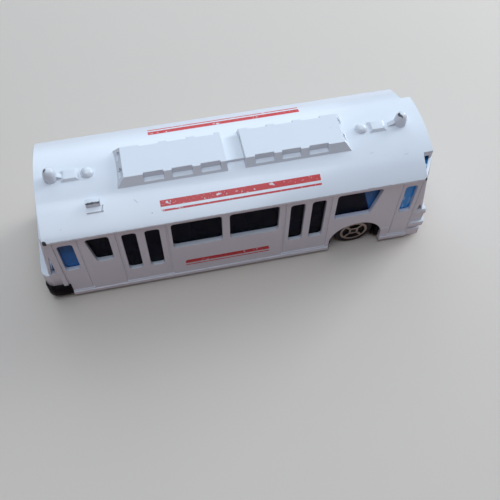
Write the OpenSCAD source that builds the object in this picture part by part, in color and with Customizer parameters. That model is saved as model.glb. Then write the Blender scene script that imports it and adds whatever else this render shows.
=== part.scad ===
// Toy airport passenger bus: a die-cast body over a glazed insert, an interior
// and a moulded base that carries two wheelsets.
// Millimetres. +X is the driving direction, +Z up, the origin is on the ground
// under the middle of the bus. The side with -Y is its right side.

/* [Body] */
// Distance from the middle of the bus to the rear roof corner
rear_eave_x = 38.7; // [37:0.1:40]
// Distance from the middle of the bus to the front roof corner
front_eave_x = 38.0; // [37:0.1:39]
// Half width of the side walls over their outer faces
wall_y = 11.95; // [11.5:0.05:13]
// Thickness of the cast walls
wall = 1.0; // [0.8:0.05:1.2]
// Height of the roof corner above the ground
eave_z = 22.9; // [22:0.1:25]
// Lowest edge of the body above the ground
skirt_z = 0.9; // [0.7:0.1:1.4]
// Rise of the arched roof above its corners
roof_rise = 3.5; // [3:0.1:4.2]
// Overhang of the roof corner past the side wall
eave_lip = 0.5; // [0.3:0.05:0.8]
// Depth of the lip under the roof corner
lip_h = 0.6; // [0.4:0.1:1]
// Depth of the panel grooves
groove_d = 0.3; // [0.2:0.05:0.4]
// Width of the panel grooves
groove_w = 0.4; // [0.3:0.05:0.6]
// Depth of the door leaves behind the panels
leaf_d = 0.15; // [0.1:0.05:0.25]
// Height of the sill strip along the skirt
strip_h = 1.1; // [0.8:0.1:1.4]
// Reach of the sill strip past the wall
strip_out = 0.2; // [0.1:0.05:0.3]

/* [Ends] */
// Distance from the middle of the bus to the bumper's tip, front and rear
bumper_x = 42.2; // [41.5:0.1:43]
// Half width of the noses below the windscreens
cheek_y = 11.5; // [11:0.05:11.8]
// Lower edge of the front sill ledge above the ground
sill_z = 8.5; // [8:0.1:9.2]
// Height of the front sill ledge
sill_h = 1.3; // [0.9:0.1:1.6]
// Height of the header bars over the windscreens
header_h = 1.0; // [0.8:0.1:1.3]
// Distance from the middle of the bus to the visor's edge
visor_x = 40.45; // [40:0.05:41.5]
// Half width of the visor over the front windscreen
visor_y = 7.5; // [7:0.1:8]

/* [Roof unit] */
// Half width of the roof unit at its foot
unit_foot_y = 4.7; // [4.5:0.1:5.2]
// Half width of the roof unit at its top
unit_top_y = 3.75; // [3.6:0.05:4.2]
// Height of the roof unit above the roof corner
unit_rise = 5.05; // [4.8:0.05:5.5]
// Depth of the louvre pockets behind the unit's top edge
louvre_d = 0.4; // [0.2:0.05:0.6]
// Height of the louvre floors above the foot of the unit
louvre_foot = 0.55; // [0.3:0.05:0.8]

/* [Wheels] */
// Diameter of the wheels
wheel_d = 9.0; // [8.6:0.1:9.2]
// Width of the wheels
wheel_w = 2.9; // [2.6:0.1:3.1]
// Distance from the middle plane to the outer face of a wheel
wheel_face_y = 10.7; // [10.5:0.05:10.75]
// Place of the front axle
front_axle_x = 25.65; // [25:0.1:26.5]
// Place of the rear axle, behind the middle
rear_axle_x = 29.0; // [28.6:0.1:29.4]
// Diameter of the steel axles
axle_d = 1.1; // [1:0.05:1.3]
// Running clearance around an axle, on the radius
axle_gap = 0.06; // [0.04:0.01:0.1]
// Diameter of the silvered hub
hub_d = 6.2; // [5.6:0.1:6.4]
// Radius of the wheel arch in the side wall
arch_r = 5.95; // [5.8:0.05:6.2]
// Top of the wheel arch above the ground
arch_top = 9.6; // [9.5:0.1:10]

/* [Inside] */
// Thickness of the glazing
glass_t = 0.8; // [0.6:0.1:1]
// Clearance between the pieces that fit into each other
fit_gap = 0.1; // [0.05:0.05:0.2]
// Thickness of the base plate
floor_t = 1.2; // [1:0.1:1.6]
// Height of the base plate's underside above the ground
floor_z = 1.5; // [1.3:0.1:1.8]
// Diameter of the two posts that hold the base
post_d = 3.2; // [2.8:0.1:3.6]
// Distance between seat rows
seat_pitch = 6.2; // [5.6:0.1:7]

/* [Hidden] */
$fn = 48;
eps = 0.05;
eave_y = wall_y + eave_lip;
roof_r = (eave_y * eave_y + roof_rise * roof_rise) / (2 * roof_rise);
roof_c = eave_z + roof_rise - roof_r;
crest = eave_z + roof_rise;
inner_y = wall_y - wall;
glass_y = inner_y - fit_gap;
axle_z = wheel_d / 2;
leaf_top = eave_z - 1.4;
leaf_low = skirt_z + strip_h + 0.4;
rear_wall_x = rear_eave_x - 0.4;
front_wall_x = front_eave_x + 0.1;
roof_corner_r = 0.45;
visor_root_x = front_eave_x + 0.35;
visor_taper = 0.05;
nose_x0 = 30;
nose_low = sill_z + sill_h;
rear_shelf_z = 9.4;
glass_top = eave_z - 0.9;
glass_low = eave_z - 9;
glass_reach = 1.6;
pane_lap = 0.35;
corner_t = 0.3;
pane_x0 = -rear_wall_x + corner_t + fit_gap;
pane_x1 = front_wall_x - corner_t - fit_gap;
well_x = wheel_d / 2 + 0.6;
well_top = arch_top + 0.1;
well_t = 0.7;
well_y = wheel_face_y - wheel_w - 0.5;
window_r = 0.7;
unit_foot = eave_z + 2.95;

// Grooves between the side panels: place along the bus
GROOVES = [-37.15, -32.45, -25.0, -15.2, 9.0, 18.6, 33.6];
// Door leaves: rear end, front end
LEAVES = [[-37.15, -32.45], [-25.0, -15.2], [9.0, 18.6], [33.6, 37.8]];
// Side windows: rear edge at the top, front edge at the top, rear edge at the
// foot, front edge at the foot, drop of the top, drop of the foot below the eave
WINDOWS = [
    [-36.65, -33.60, -36.65, -33.60, 2.7, 12.1],
    [-31.20, -26.50, -30.00, -26.50, 1.8, 10.4],
    [-24.10, -21.20, -24.10, -21.20, 2.4, 15.9],
    [-19.55, -16.60, -19.55, -16.60, 2.4, 15.9],
    [-14.30,  -4.05, -14.30,  -4.05, 1.6, 10.3],
    [ -2.50,   7.75,  -2.50,   7.75, 1.6, 10.3],
    [ 10.10,  13.15,  10.10,  13.15, 2.4, 15.7],
    [ 14.60,  17.60,  14.60,  17.60, 2.4, 15.7],
    [ 19.80,  29.60,  19.80,  27.70, 1.7, 10.1],
    [ 34.40,  37.00,  34.40,  37.00, 2.7, 12.0]];
// Upper noses, each with its plan at the header, its plan at its shelf, the height of the shelf and the
// length of its upright part. Columns of a plan: half width, start of the slanted corner, reach, half
// width of the flat middle, bow
FRONT_NOSE = [[11.7, 38.3, 41.0, 7.4, 0.25], [11.4, 40.2, 41.15, 7.4, 0.25], nose_low, 6.7];
REAR_NOSE = [[11.75, 38.8, 39.4, 10.8, 0.2], [cheek_y, 40.25, 40.8, 10.7, 0.2], rear_shelf_z, 5.2];
// Shares of an inset by which a plan's slanted corner moves back and its flat middle gets narrower
corner_share = 0.6;
flat_share = 0.3;
// Windscreens: half width at the top, half width at the foot, height of the foot
FRONT_SCREEN = [6.9, 7.1, nose_low + 0.4];
REAR_SCREEN = [9.8, 9.8, rear_shelf_z + 0.6];
screen_r = 0.9;
// Quarter windows in the cheeks: corners along the bus and in height
FRONT_QUARTER = [[38.9, 10.1], [40.0, 10.1], [39.3, 12.2]];
REAR_QUARTER = [[38.8, 9.9], [39.9, 9.9], [38.8, 17.2]];
// Corner light in a slanted corner of the front nose: half width at the top and at the foot
CORNER_LIGHT = [1.5, 1.1];
light_in = 1.6 * wall;
// Opening under a notched roof corner, and the neck of its glass: place along the bus, distance from the
// middle
NOTCH = [[38.45, 6.4], [40.3, 6.4], [39.9, 7.6], [38.5, 10.2]];
NECK = [[38.6, 6.7], [39.4, 6.7], [39.2, 7.4], [38.6, 8.5]];
notch_rise = 0.95;
tip_share = 3;
notch_z = eave_z - 0.6;
neck_z = eave_z - wall - 0.3;
// Tiers of the lower noses and of the rear bumper: lowest height, highest height, reach back from the
// tip, half width, bow, corner radius
FRONT_TIERS = [[skirt_z, 3.1, 0.8, wall_y, 0.2, 0.6], [3.1, 4.2, 1.1, cheek_y, 0.2, 0.5],
               [4.2, 5.7, 0.0, wall_y + 0.1, 0.5, 0.8], [5.7, sill_z, 0.8, cheek_y, 0.15, 0.5]];
SILL_TIERS = [[sill_z, nose_low - 0.5, 0.6, cheek_y + 0.2, 0.15, 0.5],
              [sill_z, nose_low, 0.9, cheek_y - 0.1, 0.15, 0.5]];
REAR_TIERS = [[1.3, 2.1, 0.5, 11.9, 0.1, 1.6], [2.1, 5.0, 0.0, 12.25, 0.1, 1.9]];
// Front ends of the tiers of the rear bumper
REAR_ENDS = [37.7, 37.0];
rear_drop = 1.2;
bumper_t = wall + 0.5;
bumper_top = REAR_TIERS[1][1] + fit_gap;
rear_low = [bumper_top, rear_shelf_z, 0.1, cheek_y, 0.1, 1.9];
// Reach of the hollows behind the lower noses, back from the tip
FRONT_BACK = 1.1 + wall;
REAR_BACK = 0.1 + wall;
// Blocks of the roof unit: rear end, front end, slope of the rear end, slope of the front end
UNIT_BLOCKS = [[-21.5, -1.45, 1.6, 0.2], [2.4, 22.6, 0.2, 1.5]];
// Bridge between the blocks: half width, height above the roof corner
BRIDGE = [2.9, 4.0];
bridge_lap = 0.5;
unit_root = eave_z + 2;
// Ports in the outer ends of the roof unit: place across, width, depth, start and length down the slope
PORTS = [[-2.1, 1.7, 0.35, 0.2, 1.3], [2.1, 1.7, 0.35, 0.2, 1.3]];
// Louvre pockets of the roof unit: rear end, front end
LOUVRES = [[-17.75, -13.8], [-12.15, -8.15], [-6.5, -2.55],
           [4.3, 8.15], [9.75, 13.6], [15.3, 19.25]];
// Vents on the middle line at each end: direction, place of the horn, of the plate and of the cap
VENTS = [[1, 35.5, 30.5, 27.2], [-1, 35.4, 31.75, 28.4]];
// Outlines of the horns and caps: radius, height above the crest of the roof
HORN = [[1.3, 0.3], [1.28, 1.2], [1.18, 1.9], [0.95, 2.45], [0.6, 2.78], [0.0, 2.9]];
CAP = [[1.3, 0.1], [1.15, 0.45], [0.8, 0.8], [0.35, 0.97], [0.0, 1.0]];
// Tail of a horn: length, half width, height at the horn, height half way
TAIL = [2.7, 0.5, 1.4, 0.8];
// Vent plate: length and width at its foot, rise, slope of its ends, slope of its sides
PLATE = [3.4, 2.7, 0.55, 0.55, 0.3];
root_d = 0.4;
// Lamp block on the right rear shoulder: rear end, length, place across, width, height above the roof
// corner
SHOULDER = [[-29.4, 2.7, -7.5, 1.2, 3.6], [-29.5, 3.2, -8.6, 1.3, 2.25]];
// Posts that hold the base: place along the bus, and their riveted ends
POSTS = [-35.2, 33.6];
rivet_h = 0.5;
rivet_d = post_d + 1.4;
rivet_edge = 0.4;
rivet_out = 0.1;
// Interior deck: rear end, front end, half width, thickness
DECK = [-31.4, 25.6, 9.6, 0.9];
deck_z = well_top + well_t + fit_gap;
// Skirts below the deck: rear end, front end, thickness
DECK_SKIRT = [-22.6, 19.0, 0.8];
// Seats: first place, count, distance from the middle, length, width, height, back thickness, back height
SEATS = [-29.0, 8, 1.6, 3.2, 7.4, 1.7, 0.9, 4.4];
// Relief of a wheel's face: depth of the hub, width of its ring, setback of the tyre's face, rounding of the
// tread's outer and inner edge
hub_depth = 0.5;
ring_w = 0.6;
face_in = 0.15;
tread_edge = 0.35;
back_edge = 0.3;
// Square and spokes of the hub: width, depth below the ring
HUB_SQUARE = [2.2, 0.05];
SPOKE = [0.7, 0.1];
spoke_start = 0.8;
bore_floor = hub_depth + 0.1;
press_gap = 0.01;
axle_end = wheel_face_y - bore_floor - eps;

// Points of an arc from angle a0 to a1 in n steps
function arc(cx, cy, r, a0, a1, n) =
    [for (i = [0:n]) [cx + r * cos(a0 + (a1 - a0) * i / n), cy + r * sin(a0 + (a1 - a0) * i / n)]];

// Height of the roof skin at a distance y from the middle plane
function roof_at(y) = roof_c + sqrt(roof_r * roof_r - y * y);

// Four-sided outline with rounded corners, each corner given in order
module rounded_quad(p, r) {
    n = len(p);
    polygon([for (i = [0:n - 1])
        let (a = p[(i + n - 1) % n], b = p[i], c = p[(i + 1) % n],
             u = (a - b) / norm(a - b), v = (c - b) / norm(c - b),
             half = acos(u * v) / 2, w = (u + v) / norm(u + v),
             m = b + w * r / sin(half),
             s = b + u * r / tan(half) - m, e = b + v * r / tan(half) - m,
             a0 = atan2(s[1], s[0]), sweep = ((atan2(e[1], e[0]) - a0 + 540) % 360) - 180)
        for (k = [0:4]) m + r * [cos(a0 + sweep * k / 4), sin(a0 + sweep * k / 4)]]);
}

// A flat outline in X and Z, made a slab between two distances from the middle plane
module on_side(y0, y1) {
    translate([0, y1, 0]) rotate([90, 0, 0]) linear_extrude(y1 - y0) children();
}

// Points of a front edge that bows out between two corners
function bow_arc(flat, reach, bow) =
    let (r = (flat * flat + bow * bow) / (2 * bow), a = asin(flat / r))
    arc(reach - r, 0, r, -a, a, 8);

// Plan p of a nose with slanted corners, inset by d
module slant_plan(p, d) {
    hw = p[0] - d;
    xc = p[1] - d * corner_share;
    polygon(concat([[nose_x0, -hw], [xc, -hw]], bow_arc(p[3] - d * flat_share, p[2] - d, p[4]),
                   [[xc, hw], [nose_x0, hw]]));
}

// Plan of a nose with square corners, rounded at radius r
module square_plan(hw, reach, bow, r) {
    polygon(concat([[nose_x0, -hw]], arc(reach - bow - r, r - hw, r, -90, -4, 8),
                   bow_arc(hw - r, reach, bow),
                   arc(reach - bow - r, hw - r, r, 4, 90, 8), [[nose_x0, hw]]));
}

// Block of a lower nose from the row t of a table
module tier(t) {
    translate([0, 0, t[0]]) linear_extrude(t[1] - t[0]) square_plan(t[3], bumper_x - t[2], t[4], t[5]);
}

// Upper nose n from its shelf to its header, inset by d
module upper_nose(d, n) {
    top_h = max(n[3] - d, eps);
    hull() {
        translate([0, 0, n[2] - eps]) linear_extrude(eps) slant_plan(n[1], d);
        translate([0, 0, eave_z - d - top_h]) linear_extrude(top_h) slant_plan(n[0], d);
    }
}

// Turns a nose that is drawn for the front to the rear
module to_rear() { mirror([1, 0, 0]) children(); }

// Arched section of the roof, inset by d from its skin
module roof_section(d, hw) {
    intersection() {
        translate([0, roof_c]) circle(roof_r - d, $fn = 96);
        translate([-hw, eave_z - lip_h]) square([2 * hw, roof_rise + 2]);
    }
}

module along(x0, x1) {
    translate([x0, 0, 0]) rotate([90, 0, 90]) linear_extrude(x1 - x0) children();
}

// Plan of the roof: rounded rear corners, notched front corners and a straight visor
module roof_plan() {
    r = roof_corner_r;
    side = [[front_eave_x, eave_y], [visor_root_x, visor_y], [visor_x, visor_y - visor_taper]];
    polygon(concat(
        arc(-rear_eave_x + r, eave_y - r, r, 90, 180, 4),
        arc(-rear_eave_x + r, r - eave_y, r, 180, 270, 4),
        [for (p = side) [p[0], -p[1]]],
        [for (i = [len(side) - 1:-1:0]) side[i]]));
}

module roof_solid() {
    intersection() {
        along(-bumper_x, bumper_x) roof_section(0, eave_y);
        translate([0, 0, eave_z - lip_h]) linear_extrude(roof_rise + lip_h + 1) roof_plan();
    }
}

// Outline of one side window
function window_quad(w) = [[w[0], eave_z - w[4]], [w[1], eave_z - w[4]],
                           [w[3], eave_z - w[5]], [w[2], eave_z - w[5]]];

module side_cuts() {
    for (w = WINDOWS)
        on_side(-wall_y - 1, wall_y + 1) rounded_quad(window_quad(w), window_r);
    for (s = [-1, 1], x = GROOVES)
        translate([x - groove_w / 2, s > 0 ? wall_y - groove_d : -wall_y - 1, leaf_low])
            cube([groove_w, groove_d + 1, leaf_top - leaf_low]);
    for (s = [-1, 1], d = LEAVES)
        translate([d[0], s > 0 ? wall_y - leaf_d : -wall_y - 1, leaf_low])
            cube([d[1] - d[0], leaf_d + 1, leaf_top - leaf_low]);
}

// Arches over the front wheels, with straight lower sides
module arch_cut() {
    translate([front_axle_x, 0, arch_top - arch_r]) rotate([90, 0, 0])
        cylinder(r = arch_r, h = 2 * wall_y + 4, center = true);
    translate([front_axle_x - arch_r, -wall_y - 2, -1])
        cube([2 * arch_r, 2 * wall_y + 4, arch_top - arch_r + 1]);
}

// Windscreen w of a nose n drawn for the front
module windscreen(w, n) {
    top = eave_z - header_h;
    along(n[0][1] - wall, bumper_x + 2)
        rounded_quad([[-w[0], top], [w[0], top], [w[1], w[2]], [-w[1], w[2]]], screen_r);
}

// Quarter windows through both cheeks of a nose
module quarter_window(q) {
    on_side(-wall_y - 1, wall_y + 1) polygon(q);
}

// Corner lights in the slanted faces of the front nose
module corner_lights() {
    h = FRONT_NOSE[0];
    run = h[2] - h[4] - h[1];
    drop = h[0] - h[3];
    top = eave_z - header_h;
    low = eave_z - FRONT_NOSE[3] - header_h;
    for (s = [-1, 1])
        translate([h[1] + run / 2, s * (h[3] + drop / 2), 0]) rotate([0, 0, s * atan2(run, drop)])
            along(-light_in, 2 * wall)
                rounded_quad([[-CORNER_LIGHT[0], top], [CORNER_LIGHT[0], top],
                              [CORNER_LIGHT[1], low], [-CORNER_LIGHT[1], low]], screen_r / 2);
}

// Prisms on both sides under the notched roof corners: outline p inset by d, between two heights
module notches(p, d, z0, z1) {
    for (s = [-1, 1]) translate([0, 0, z0]) linear_extrude(z1 - z0)
        polygon([[p[0][0] + d, s * (p[0][1] + d)], [p[1][0] - d, s * (p[1][1] + d)],
                 [p[2][0] - d, s * p[2][1]], [p[3][0] + d, s * (p[3][1] - tip_share * d)]]);
}

// Roof unit: two blocks with sloped ends, joined by a low bridge
module roof_unit() {
    top = eave_z + unit_rise;
    flare = (unit_foot_y - unit_top_y) / (top - roof_at(unit_foot_y));
    root_y = unit_top_y + flare * (top - unit_root);
    louvre_z = roof_at(unit_foot_y) + louvre_foot;
    ENDS = [[UNIT_BLOCKS[0][0], -1, UNIT_BLOCKS[0][2]], [UNIT_BLOCKS[1][1], 1, UNIT_BLOCKS[1][3]]];
    difference() {
        for (b = UNIT_BLOCKS) intersection() {
            along(b[0] - b[2], b[1] + b[3])
                polygon([[-root_y, unit_root], [root_y, unit_root], [unit_top_y, top], [-unit_top_y, top]]);
            on_side(-root_y - 1, root_y + 1)
                polygon([[b[0] - b[2], unit_root], [b[1] + b[3], unit_root], [b[1] + b[3], unit_foot],
                         [b[1], top], [b[0], top], [b[0] - b[2], unit_foot]]);
        }
        for (s = [-1, 1], p = LOUVRES)
            translate([p[0], s > 0 ? unit_top_y - louvre_d : -unit_top_y - 2, louvre_z])
                cube([p[1] - p[0], 2 + louvre_d, top + 1 - louvre_z]);
        for (p = PORTS, e = ENDS)
            translate([e[0], p[0], top]) mirror([e[1] < 0 ? 1 : 0, 0, 0])
                rotate([0, atan2(top - unit_foot, e[2]), 0])
                    translate([p[3], -p[1] / 2, -p[2]]) cube([p[4], p[1], 2 * p[2]]);
    }
    translate([UNIT_BLOCKS[0][1] - bridge_lap, -BRIDGE[0], unit_root])
        cube([UNIT_BLOCKS[1][0] - UNIT_BLOCKS[0][1] + 2 * bridge_lap, 2 * BRIDGE[0],
              eave_z + BRIDGE[1] - unit_root]);
}

// Round fitting on the crest of the roof, turned from an outline
module bud(outline, x) {
    translate([x, 0, crest]) rotate_extrude()
        polygon(concat([[0, -root_d], [outline[0][0], -root_d]], outline));
}

// Horn of a vent, with a low tail towards the middle
module horn(x) {
    bud(HORN, x);
    on_side(-TAIL[1], TAIL[1])
        polygon([[x - TAIL[0], crest - root_d], [x, crest - root_d], [x, crest + TAIL[2]],
                 [x - TAIL[0] / 2, crest + TAIL[3]], [x - TAIL[0], crest]]);
}

// Vents on the middle line at both ends, and the lamp block on the right rear shoulder
module roof_vents() {
    for (v = VENTS) mirror([v[0] < 0 ? 1 : 0, 0, 0]) {
        horn(v[1]);
        translate([v[2], 0, crest]) vent_plate();
        bud(CAP, v[3]);
    }
    for (b = SHOULDER)
        translate([b[0], b[2], eave_z + 1]) cube([b[1], b[3], b[4] - 1]);
}

// Outline of a low block w wide at its foot, with sloped ends
function low_block(w, slope) = [[-w / 2 - slope, -root_d], [w / 2 + slope, -root_d],
                                [w / 2 - slope, PLATE[2]], [slope - w / 2, PLATE[2]]];

// Flat vent plate with sloped edges
module vent_plate() {
    intersection() {
        on_side(-PLATE[1], PLATE[1]) polygon(low_block(PLATE[0], PLATE[3]));
        along(-PLATE[0], PLATE[0]) polygon(low_block(PLATE[1], PLATE[4]));
    }
}

// Hollow of the body, from the open foot to the roof skin
module cavity() {
    intersection() {
        translate([-rear_wall_x + corner_t, -inner_y, -1])
            cube([rear_wall_x + front_wall_x - 2 * corner_t, 2 * inner_y, eave_z + roof_rise]);
        union() {
            along(-bumper_x, bumper_x) roof_section(wall + 0.1, inner_y);
            translate([-bumper_x, -inner_y, -2]) cube([2 * bumper_x, 2 * inner_y, eave_z + 1.6]);
        }
    }
}

// Hollow of a nose n drawn for the front: behind the windscreen, through the shelf and below it
module nose_hollow(n, back) {
    upper_nose(wall, n);
    translate([0, 0, n[2] - wall - eps]) linear_extrude(wall + eps) slant_plan(n[1], wall);
    tier([-1, n[2] - wall, back, cheek_y - wall, 0.1, 0.5]);
}

// Posts cast to the roof, riveted under the base
module posts() {
    for (x = POSTS) {
        translate([x, 0, floor_z]) cylinder(d = post_d, h = crest - floor_z - wall / 2);
        translate([x, 0, floor_z - rivet_out]) cylinder(d1 = rivet_d - rivet_edge, d2 = rivet_d, h = rivet_h);
    }
}

// Roof and upper front nose, open under the notched corners for the glass
module notched_front() {
    difference() {
        union() {
            roof_solid();
            upper_nose(0, FRONT_NOSE);
        }
        nose_hollow(FRONT_NOSE, FRONT_BACK);
        notches(NOTCH, 0, notch_z, eave_z + notch_rise);
        notches(NECK, 0, neck_z, notch_z + eps);
    }
}

module body_shell() color("white") {
    difference() {
        union() {
            translate([-rear_wall_x, -wall_y, skirt_z])
                cube([rear_wall_x + front_wall_x, 2 * wall_y, eave_z - skirt_z]);
            translate([-rear_wall_x, -wall_y - strip_out, skirt_z])
                cube([rear_wall_x + front_wall_x, 2 * (wall_y + strip_out), strip_h]);
            notched_front();
            to_rear() upper_nose(0, REAR_NOSE);
            for (t = FRONT_TIERS) tier(t);
            hull() for (t = SILL_TIERS) tier(t);
            to_rear() tier(rear_low);
            roof_unit();
            roof_vents();
        }
        cavity();
        nose_hollow(FRONT_NOSE, FRONT_BACK);
        to_rear() nose_hollow(REAR_NOSE, REAR_BACK);
        side_cuts();
        arch_cut();
        windscreen(FRONT_SCREEN, FRONT_NOSE);
        to_rear() windscreen(REAR_SCREEN, REAR_NOSE);
        quarter_window(FRONT_QUARTER);
        to_rear() quarter_window(REAR_QUARTER);
        corner_lights();
        for (i = [0, 1]) let (t = REAR_TIERS[i])
            translate([-bumper_x - 1, -wall_y - 1, t[0] - rear_drop])
                cube([bumper_x + 1 - REAR_ENDS[i] + fit_gap, 2 * wall_y + 2,
                      t[1] - t[0] + rear_drop + fit_gap]);
    }
    posts();
}

// Side pane: an outline that reaches down behind each window
module pane(side) {
    for (w = WINDOWS)
        on_side(side > 0 ? glass_y - glass_t : -glass_y, side > 0 ? glass_y : glass_t - glass_y)
            polygon([[min(w[0], w[2]) - pane_lap, glass_top], [max(w[1], w[3]) + pane_lap, glass_top],
                     [max(w[1], w[3]) + pane_lap, eave_z - w[5] - pane_lap],
                     [min(w[0], w[2]) - pane_lap, eave_z - w[5] - pane_lap]]);
    translate([pane_x0, side > 0 ? glass_y - glass_t : -glass_y, glass_low])
        cube([pane_x1 - pane_x0, glass_t, glass_top - glass_low]);
}

module glazing() color("royalblue") difference() {
    union() {
        for (s = [-1, 1]) pane(s);
        translate([pane_x0, -glass_y, glass_top - glass_t])
            cube([pane_x1 - pane_x0, 2 * glass_y, glass_t]);
        nose_glass(FRONT_NOSE);
        to_rear() nose_glass(REAR_NOSE);
        notches(NOTCH, fit_gap, notch_z + fit_gap, eave_z - fit_gap);
        notches(NECK, fit_gap, neck_z + fit_gap, notch_z + 2 * fit_gap);
    }
    for (x = POSTS)
        translate([x, 0, 0]) cylinder(d = post_d + 2 * fit_gap, h = crest);
}

// Glass behind the windscreen and corner lights of a nose n drawn for the front
module nose_glass(n) {
    difference() {
        upper_nose(wall + fit_gap, n);
        upper_nose(wall + fit_gap + glass_t, n);
        translate([0, -wall_y, 0]) cube([n[0][1] - glass_reach, 2 * wall_y, eave_z + 5]);
        translate([0, -wall_y, -1]) cube([bumper_x, 2 * wall_y, n[2] + 1]);
    }
}

// One pair of seats on the side s
module seat(x, s) {
    translate([x, s > 0 ? SEATS[2] : -SEATS[2] - SEATS[4], deck_z + DECK[3] - eps]) {
        cube([SEATS[3], SEATS[4], SEATS[5]]);
        cube([SEATS[6], SEATS[4], SEATS[7]]);
    }
}

module interior() color("#202022") {
    foot = floor_z + floor_t + fit_gap;
    translate([DECK[0], -DECK[2], deck_z]) cube([DECK[1] - DECK[0], 2 * DECK[2], DECK[3]]);
    for (s = [-1, 1]) {
        translate([DECK_SKIRT[0], s > 0 ? DECK[2] - DECK_SKIRT[2] : -DECK[2], foot])
            cube([DECK_SKIRT[1] - DECK_SKIRT[0], DECK_SKIRT[2], deck_z - foot + eps]);
        for (i = [0:SEATS[1] - 1]) seat(SEATS[0] + i * seat_pitch, s);
    }
}

// Wheel wells of one axle, out to y1: inner walls that carry the axle, and a roof over the wheels
module wells(x, y1) {
    for (s = [-1, 1])
        difference() {
            translate([x - well_x - well_t, s > 0 ? well_y - well_t : -y1, floor_z])
                cube([2 * (well_x + well_t), y1 - well_y + well_t, well_top + well_t - floor_z]);
            translate([x - well_x, s > 0 ? well_y : -glass_y - 1, floor_z - 1])
                cube([2 * well_x, glass_y - well_y + 1, well_top - floor_z + 1]);
        }
}

module base() color("#1b1b1d") difference() {
    union() {
        difference() {
            translate([-rear_eave_x, -glass_y, floor_z])
                cube([rear_eave_x + pane_x1, 2 * glass_y, floor_t]);
            for (x = [-rear_axle_x, front_axle_x], s = [-1, 1])
                translate([x - well_x, s > 0 ? well_y : -glass_y - 1, floor_z - 1])
                    cube([2 * well_x, glass_y - well_y + 1, floor_t + 2]);
        }
        wells(-rear_axle_x, glass_y - glass_t - fit_gap);
        wells(front_axle_x, glass_y);
        tier([floor_z, floor_z + floor_t, FRONT_BACK + fit_gap, cheek_y - wall - fit_gap, 0.1, 0.5]);
        to_rear() difference() {
            for (i = [0, 1]) let (t = REAR_TIERS[i]) difference() {
                tier(t);
                translate([0, -wall_y - 1, t[0] - 1]) cube([REAR_ENDS[i], 2 * wall_y + 2, t[1] - t[0] + 2]);
            }
            translate([0, -inner_y, floor_z + floor_t])
                cube([bumper_x - bumper_t, 2 * inner_y, REAR_TIERS[1][1] - floor_z - floor_t + 1]);
        }
    }
    for (x = [-rear_axle_x, front_axle_x])
        translate([x, 0, axle_z]) rotate([90, 0, 0])
            cylinder(r = axle_d / 2 + axle_gap, h = 3 * wall_y, center = true);
    for (x = POSTS) {
        translate([x, 0, 0]) cylinder(d = post_d + 2 * fit_gap, h = eave_z);
        translate([x, 0, 0]) cylinder(d = rivet_d + 4 * fit_gap, h = floor_z + rivet_h);
    }
}

module axle(x) color("silver") {
    translate([x, 0, axle_z]) rotate([90, 0, 0])
        cylinder(d = axle_d, h = 2 * axle_end, center = true);
}

// One wheel on the side s, moulded with its tread, hub ring, square and spokes
module wheel(x, s) color("#232325") {
    tread = wheel_d / 2;
    ring = hub_d / 2;
    bore = axle_d / 2 + press_gap;
    translate([x, s * wheel_face_y, axle_z]) rotate([s * 90, 0, 0]) difference() {
        union() {
            rotate_extrude($fn = 64)
                polygon([[bore, hub_depth], [ring - ring_w, hub_depth], [ring - ring_w, 0], [ring, 0],
                         [ring + eps, face_in], [tread - tread_edge, face_in], [tread, face_in + tread_edge],
                         [tread, wheel_w - back_edge], [tread - back_edge, wheel_w], [bore, wheel_w]]);
            translate([-HUB_SQUARE[0] / 2, -HUB_SQUARE[0] / 2, HUB_SQUARE[1]])
                cube([HUB_SQUARE[0], HUB_SQUARE[0], 2 * hub_depth]);
            for (a = [45:90:315]) rotate([0, 0, a])
                translate([spoke_start, -SPOKE[0] / 2, SPOKE[1]])
                    cube([ring - ring_w - spoke_start + 2 * SPOKE[1], SPOKE[0], 2 * hub_depth - SPOKE[1]]);
        }
        translate([0, 0, bore_floor]) cylinder(r = bore, h = wheel_w + 1);
    }
}

module axle_front() axle(front_axle_x);
module axle_rear() axle(-rear_axle_x);
module wheel_front_left() wheel(front_axle_x, 1);
module wheel_front_right() wheel(front_axle_x, -1);
module wheel_rear_left() wheel(-rear_axle_x, 1);
module wheel_rear_right() wheel(-rear_axle_x, -1);

body_shell();
glazing();
interior();
base();
axle_front();
axle_rear();
wheel_front_left();
wheel_front_right();
wheel_rear_left();
wheel_rear_right();
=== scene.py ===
"""Looks of a die-cast toy airport bus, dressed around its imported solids.

The sizes that the classes hold are millimetres, and MM turns them into Blender's
metres. +X is the driving direction, +Z is up, and the origin is on the ground under
the middle of the bus.

In the finishes, a name that ends in share says how much of a colour shows, one in
rough what is added to the roughness, and one in depth how high a bump is. A name such
as cloud_white says how strong the white is in the clouds. The sheen is the specular
level, the bend is the index of refraction, and the edge is the radius to which the
shader rounds edges.
"""

import logging
import math
from dataclasses import dataclass
from enum import Enum
from functools import reduce

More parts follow.
